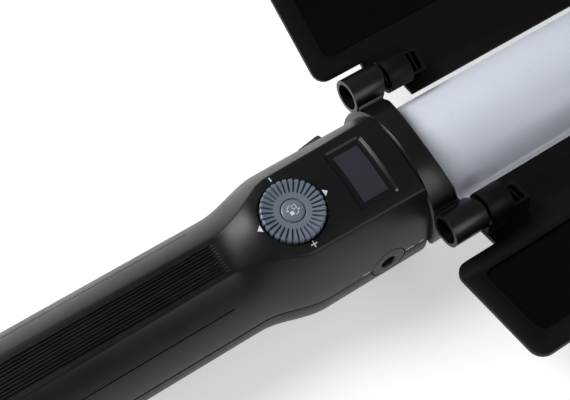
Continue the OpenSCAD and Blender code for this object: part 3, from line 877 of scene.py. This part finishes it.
@dataclass
class ControlPanel:
    """Dial, button and their printed signs. Sizes in mm."""

    form: HandleForm = HandleForm()
    radius: float = 13.0
    bore: float = 5.0
    slots: int = 32
    slot_depth: float = 1.4
    button: float = 4.7
    print_height: float = 0.06

    def centre(self) -> Vector:
        """Middle of the dial at the height of the head's flat edge."""
        low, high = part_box("dial_ring")
        return Vector(((low.x + high.x) / 2, (low.y + high.y) / 2, low.z + 2.4 * MM))

    def dial(self) -> Mesh:
        """Turn the dial's profile and press its slots and scallops in as it turns."""
        r = self.radius
        profile = [(r - 0.8, -2.4, 0, 0), (r, -1.6, 0.2, 0), (r, 1.2, 0.45, 0), (r, 3.1, 0.5, 0.0),
                   (r - 0.12, 3.5, 0.5, 0.25), (r - 0.45, 3.8, 0.4, 0.6), (r - 0.95, 3.9, 0.1, 0.85),
                   (r - 1.6, 3.75, 0, 1), (r - 3.2, 3.33, 0, 1), (r - 4.6, 2.98, 0, 1),
                   (r - 5.1, 2.87, 0, 0.6), (r - 5.5, 2.8, 0, 0), (self.bore + 0.7, 2.78, 0, 0),
                   (self.bore + 0.25, 2.7, 0, 0), (self.bore, 2.4, 0, 0), (self.bore, -2.4, 0, 0)]
        base, steps = self.centre(), self.slots * 18
        rings = []
        for i in range(steps):
            a = 2 * math.pi * i / steps
            press = smooth(math.cos(a * self.slots), 0.3, 0.72)
            rings.append([base + Vector((math.cos(a) * (q - pull * press),
                                         math.sin(a) * (q - pull * press),
                                         z - self.slot_depth * sink * press)) * MM
                          for q, z, pull, sink in profile])
        return soften(loft("dial_ring_moulding", rings, closed=True), 40)

    def cap(self) -> Mesh:
        """Turn the button with its soft dome and stem."""
        b, base = self.button, self.centre()
        profile = [(0.0, 3.1), (b * 0.5, 3.04), (b - 0.6, 2.88), (b - 0.2, 2.74), (b, 2.45),
                   (b, -1.0), (2.0, -1.0), (2.0, -2.3), (0.0, -2.3)]
        steps = 72
        points = [base + Vector((0, 0, profile[0][1])) * MM]
        inner = profile[1:-1]
        for i in range(steps):
            a = 2 * math.pi * i / steps
            points += [base + Vector((q * math.cos(a), q * math.sin(a), z)) * MM for q, z in inner]
        points.append(base + Vector((0, 0, profile[-1][1])) * MM)
        n, faces = len(inner), []
        for i in range(steps):
            a, b0 = 1 + i * n, 1 + (i + 1) % steps * n
            faces.append([0, a, b0])
            faces.append([len(points) - 1, b0 + n - 1, a + n - 1])
            faces += [[a + k, a + k + 1, b0 + k + 1, b0 + k] for k in range(n - 1)]
        return soften(make_mesh("mode_button_moulding", points, faces), 40)

    def print_strip(self, name: str, path: Sequence[Point2], width: float, closed: bool) -> Mesh:
        """Lay a thin printed line on the button.

        Args:
            name: the piece's name.
            path: the line's points about the dial's centre.
            width: the line's width.
            closed: whether it returns to its start.

        Returns:
            The print as a thin solid.
        """
        base = self.centre() + Vector((0, 0, 2.9)) * MM
        count = len(path)
        rings = []
        for i, (x, y) in enumerate(path):
            before = path[i - 1] if i or closed else path[i]
            after = path[(i + 1) % count] if i < count - 1 or closed else path[i]
            along = Vector((after[0] - before[0], after[1] - before[1], 0)).normalized()
            side = Vector((-along.y, along.x, 0)) * width / 2
            dome = 0.2 * (1 - (math.hypot(x, y) / self.button) ** 2)
            lift = Vector((x, y, dome))
            heights = (-0.1, self.print_height)
            rings.append([base + (lift + side + Vector((0, 0, h))) * MM for h in heights]
                         + [base + (lift - side + Vector((0, 0, h))) * MM
                            for h in reversed(heights)])
        return loft(name, rings, closed=closed)

    def signs(self) -> list[Mesh]:
        """Print the button's four small signs: two squares and two turning arrows."""
        made = []
        far, half, reach = 1.0, 0.78, 2.2
        square = [(far - half, far - half), (far + half, far - half), (far + half, far + half),
                  (far - half, far + half)]
        made.append(self.print_strip("button_print_frame", square, 0.3, True))
        row = [(-far - half, -far), (-far + half, -far)]
        made.append(self.print_strip("button_print_block", row, 2 * half, False))
        for name, middle in (("button_print_arrow_left", 135), ("button_print_arrow_right", -45)):
            turns = [math.radians(middle - 38 + 76 * i / 12) for i in range(13)]
            arc = [(reach * math.cos(t), reach * math.sin(t)) for t in turns[:10]]
            head = [(reach * math.cos(t), reach * math.sin(t)) for t in turns[10:]]
            made.append(join(name, [self.print_strip("arc", arc, 0.3, False),
                                    self.print_strip("head", head, 0.85, False)]))
        return made

    def inlay(self, spans: Sequence[tuple[float, float, float]], high: float = 0.05,
              low: float = -0.3) -> Mesh:
        """Make a thin patch that follows the head's crowned top.

        Args:
            spans: stations along x from the dial's centre, each with its two ends across.
            high: its upper face above the crowned top.
            low: its lower face above the crowned top.

        Returns:
            The patch as a thin solid.
        """
        rings, parts = [], 24
        for dx, y0, y1 in spans:
            x = dx - self.form.dial_x
            row = [mix(y0, y1, i / parts) for i in range(parts + 1)]
            rings.append([LAYOUT.at(x, y, self.form.top(x, y) + high) for y in row]
                         + [LAYOUT.at(x, y, self.form.top(x, y) + low) for y in reversed(row)])
        return loft("patch", rings)

    def panel_signs(self) -> Mesh:
        """Print the plus, the minus and the two outward triangles around the dial."""
        bar, arm, plus, minus = 0.25, 1.3, -15.2, 16.1
        patches = [[(-bar, plus - arm, plus + arm), (bar, plus - arm, plus + arm)],
                   [(-arm, plus - bar, plus + bar), (-bar, plus - bar, plus + bar)],
                   [(bar, plus - bar, plus + bar), (arm, plus - bar, plus + bar)],
                   [(-bar, minus - 1, minus + 1), (bar, minus - 1, minus + 1)]]
        for way in (-1, 1):
            patches.append([(way * 14.3, -1.5, 1.5), (way * 16.1, -0.03, 0.03)])
        return join("panel_signs", [self.inlay(spans) for spans in patches])

    def build(self, shop: Workshop) -> None:
        """Make the dial, the button and the prints."""
        dial, cap = self.dial(), self.cap()
        adopt(dial, "dial", "dial_ring")
        adopt(cap, "button", "mode_button")
        shop.paint(dial, DIAL_PC)
        shop.paint(cap, DIAL_PC)
        for sign in self.signs():
            adopt(sign, "button")
            shop.paint(sign, PRINT_INK)
        panel = self.panel_signs()
        adopt(panel, "wand", "panel_marks")
        shop.paint(panel, PRINT_INK)
        half, above, below = 11.06, -1.05, -2.1
        ends = [self.form.dial_x - behind for behind in (25.9, 14.35)]
        glass = self.inlay([(end, -half, half) for end in ends], above, below)
        glass = soften(join("display_glass", [glass]), 40)
        adopt(glass, "wand", "display_window")
        shop.paint(glass, SCREEN)


@dataclass
class PowerSide:
    """Inlet ring, its printed polarity sign and the power slider."""

    form: HandleForm = HandleForm()
    dash: float = 0.4
    jack_x: float = -21.6
    ring: float = 8.0
    hole: float = 3.25

    def side_at(self, x: float, z: float) -> float:
        """How far out the shell's side is at a height."""
        power = self.form.power(x, z > 0)
        w, a, top = self.form.width(x), self.form.flat(x), self.form.edge(x)
        u = abs(z) / self.form.full_height(w, a, top, power)
        out = 0 if z > 0 else self.form.swell(u)
        return w * (1 - u**power) ** (1 / power) + out

    def polarity(self) -> Mesh:
        """Print two rows of small generic ticks beside the inlet, above the parting line."""
        pieces = []
        rows = ((-34.3, 4), (-12.6, 5), (-5.9, 3))
        for start, count in rows:
            for i in range(count):
                x, tall = start + 0.85 * i, (0.9, 1.3)[i % 2]
                corners = []
                for z in (1.0, 1.0 + tall):
                    out = self.side_at(x, z)
                    for dx in (-self.dash / 2, self.dash / 2):
                        corners += [LAYOUT.at(x + dx, -out - lift, z) for lift in (-0.15, 0.04)]
                pieces.append(make_mesh("tick", corners, BLOCK_FACES))
        return join("inlet_print", pieces)

    def inlet(self) -> Mesh:
        """Turn the inlet's ring so that its face follows the curve of the handle's side."""
        x0, ring, hole, steps = self.jack_x, self.ring, self.hole, 96
        deep = self.form.head_w - 5
        rings = []
        for i in range(steps):
            a = 2 * math.pi * i / steps

            def rim(q: float, sunk: float) -> Vector:
                """Point on the face at a radius, sunk by a little."""
                x, z = x0 + q * math.cos(a), q * math.sin(a)
                return LAYOUT.at(x, sunk - self.side_at(x, z), z)

            def back(q: float) -> Vector:
                """Point on the ring's flat back."""
                return LAYOUT.at(x0 + q * math.cos(a), -deep, q * math.sin(a))

            rings.append([rim(hole, 0.75), rim(hole + 0.12, 0.4), rim(hole + 0.4, 0.14),
                          rim(hole + 0.7, 0.06), rim(5.0, 0.05), rim(6.5, 0.05),
                          rim(ring - 0.25, 0.06), rim(ring - 0.07, 0.12), rim(ring, 0.3),
                          back(ring), back(hole)])
        return soften(loft("inlet_ring_moulding", rings, closed=True), 40)

    def build(self, shop: Workshop) -> None:
        """Make the inlet's and the slider's pieces."""
        ring = self.inlet()
        adopt(ring, "wand", "dc_jack_ring")
        shop.paint(ring, SHELL_ABS)
        slider = eased_copy("power_slider_moulding", "power_slider", 0.35)
        shop.paint(slider, SLIDER_ABS)
        sign = self.polarity()
        adopt(sign, "wand")
        shop.paint(sign, PRINT_INK)


# ---------------------------------------------------------------- light and doors


@dataclass
class LightTube:
    """The opal tube and the two ends. Sizes in mm."""

    radius: float = 25
    wall: float = 2

    def build(self, shop: Workshop) -> None:
        """Make the tube with eased ends, and the caps."""
        low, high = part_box("diffuser_tube")
        x0, x1 = (low.x - LAYOUT.collar) / MM, (high.x - LAYOUT.collar) / MM
        r, q, e = self.radius, self.radius - self.wall, 0.35
        profile = [(x0, q + e), (x0, r - e), (x0 + e, r), (x1 - e, r), (x1, r - e), (x1, q + e),
                   (x1 - e, q), (x0 + e, q)]
        tube = soften(turned_x("diffuser_tube_opal", profile, 160), 50)
        adopt(tube, "wand", "diffuser_tube")
        shop.paint(tube, OPAL)
        shop.paint(eased_copy("rear_cap_moulding", "rear_cap", 0.3), SHELL_ABS)
        shop.paint(eased_copy("end_cap_moulding", "end_cap", 0.35), SHELL_ABS)


@dataclass
class Brackets:
    """The two clip collars with their hinge barrels, screws and washers."""

    edge: float = 0.45

    def build(self, shop: Workshop) -> None:
        """Make both collars and dress the hinge hardware."""
        for end in ("rear", "front"):
            shop.paint(eased_copy(end + "_collar_moulding", end + "_bracket", self.edge, 3),
                       BRACKET_NYLON)
        shop.paint(eased_copy("hinge_screws_turned", "hinge_screws", 0.2), BLACK_STEEL)
        shop.paint(eased_copy("hinge_washers_pressed", "hinge_washers", 0.15), BLACK_STEEL)


@dataclass
class BarnDoors:
    """The two doors: frame, sheet and hinge bushes."""

    edge: float = 0.4

    def build(self, shop: Workshop) -> None:
        """Make both doors."""
        for side in ("left", "right"):
            shop.paint(eased_copy(side + "_door_frame_moulding", side + "_door_frame", self.edge),
                       DOOR_LACQUER)
            shop.paint(frame["nodes"][side + "_door_panel"], DOOR_PANEL)
            shop.paint(frame["nodes"][side + "_door_bushes"], ACETAL)


class Inside:
    """What the handle and the tube hold, and the fasteners."""

    FINISHES = {
        "shell_screws": STEEL, "end_cap_screws": STEEL, "rear_thread_insert": BRASS,
        "front_thread_insert": BRASS, "display_module": COMPONENT, "control_board": BOARD,
        "driver_board": BOARD, "encoder_body": COMPONENT, "button_switch": COMPONENT,
        "dc_jack_socket": COMPONENT, "power_switch_body": COMPONENT, "battery_holder": COMPONENT,
        "battery_cells": SLEEVE, "tube_socket": SHELL_ABS, "heatsink_spine": ALUMINIUM,
        "led_board": WHITE_BOARD, "led_chips": PHOSPHOR,
    }

    def build(self, shop: Workshop) -> None:
        """Dress the CAD nodes that keep their own shape."""
        for node, finish in self.FINISHES.items():
            shop.paint(frame["nodes"][node], finish)


# ---------------------------------------------------------------- studio


@dataclass
class Studio:
    """Floor, soft light and camera."""

    eye: tuple[float, float, float] = (-0.24965, -0.11420, 0.44144)
    azimuth: float = -43.84
    elevation: float = 66.54
    roll: float = 11.77
    lens: float = 68.21
    world: float = 0.2

    def axes(self) -> tuple[Vector, Vector, Vector]:
        """Camera's right, up and backward directions."""
        az, el, roll = (math.radians(v) for v in (self.azimuth, self.elevation, self.roll))
        right = Vector((math.cos(az), math.sin(az), 0))
        back = Vector((math.cos(el) * math.sin(az), -math.cos(el) * math.cos(az), math.sin(el)))
        up = back.cross(right)
        turned_right = right * math.cos(roll) + up * math.sin(roll)
        turned_up = up * math.cos(roll) - right * math.sin(roll)
        return turned_right, turned_up, back

    def camera(self) -> None:
        """Place the camera."""
        right, up, back = self.axes()
        data = bpy.data.cameras.new("camera")
        data.lens, data.sensor_width = self.lens, 36
        data.clip_start = 0.01
        camera = bpy.data.objects.new("camera", data)
        turn = Matrix((right, up, back)).transposed().to_4x4()
        camera.matrix_world = Matrix.Translation(Vector(self.eye)) @ turn
        bpy.context.scene.collection.objects.link(camera)
        bpy.context.scene.camera = camera

    def lamp(self, name: str, side: float, height: float, back: float, size: float,
             power: float) -> None:
        """Hang a soft box, placed in camera directions from the middle of the view."""
        right, up, away = self.axes()
        middle = Vector((-0.125, 0.015, 0.03))
        data = bpy.data.lights.new(name, "AREA")
        data.shape, data.size, data.energy = "DISK", size, power
        lamp = bpy.data.objects.new(name, data)
        spot = middle + right * side + up * height + away * back
        turn = (spot - middle).to_track_quat("Z", "Y").to_matrix().to_4x4()
        lamp.matrix_world = Matrix.Translation(spot) @ turn
        bpy.context.scene.collection.objects.link(lamp)

    def build(self, shop: Workshop) -> None:
        """Make the floor, world and lights."""
        size = 4.0
        floor = make_mesh("floor", [Vector((x, y, 0)) for x, y in
                          ((-size, -size), (size, -size), (size, size), (-size, size))],
                          [[0, 1, 2, 3]])
        shop.paint(floor, FLOOR)
        world = bpy.data.worlds.new("studio")
        world.use_nodes = True
        background = world.node_tree.nodes["Background"]
        background.inputs["Color"].default_value = linear("#ffffff")
        background.inputs["Strength"].default_value = self.world
        bpy.context.scene.world = world
        bpy.context.scene.view_settings.view_transform = "Standard"
        self.lamp("key", -1.0, 0.6, 0.75, 0.8, 19)
        self.lamp("fill", 0.9, -0.2, 1.0, 0.8, 3.5)


def main() -> None:
    """Build the wand and report each piece."""
    logging.basicConfig(level=logging.INFO, format="%(message)s")
    shop = Workshop()
    studio = Studio()
    studio.camera()
    for part in (HandleShells(), ControlPanel(), PowerSide(), LightTube(), Brackets(), BarnDoors(),
                 Inside(), studio):
        part.build(shop)
        LOG.info("built %s", type(part).__name__)


if __name__ == "__main__":
    main()
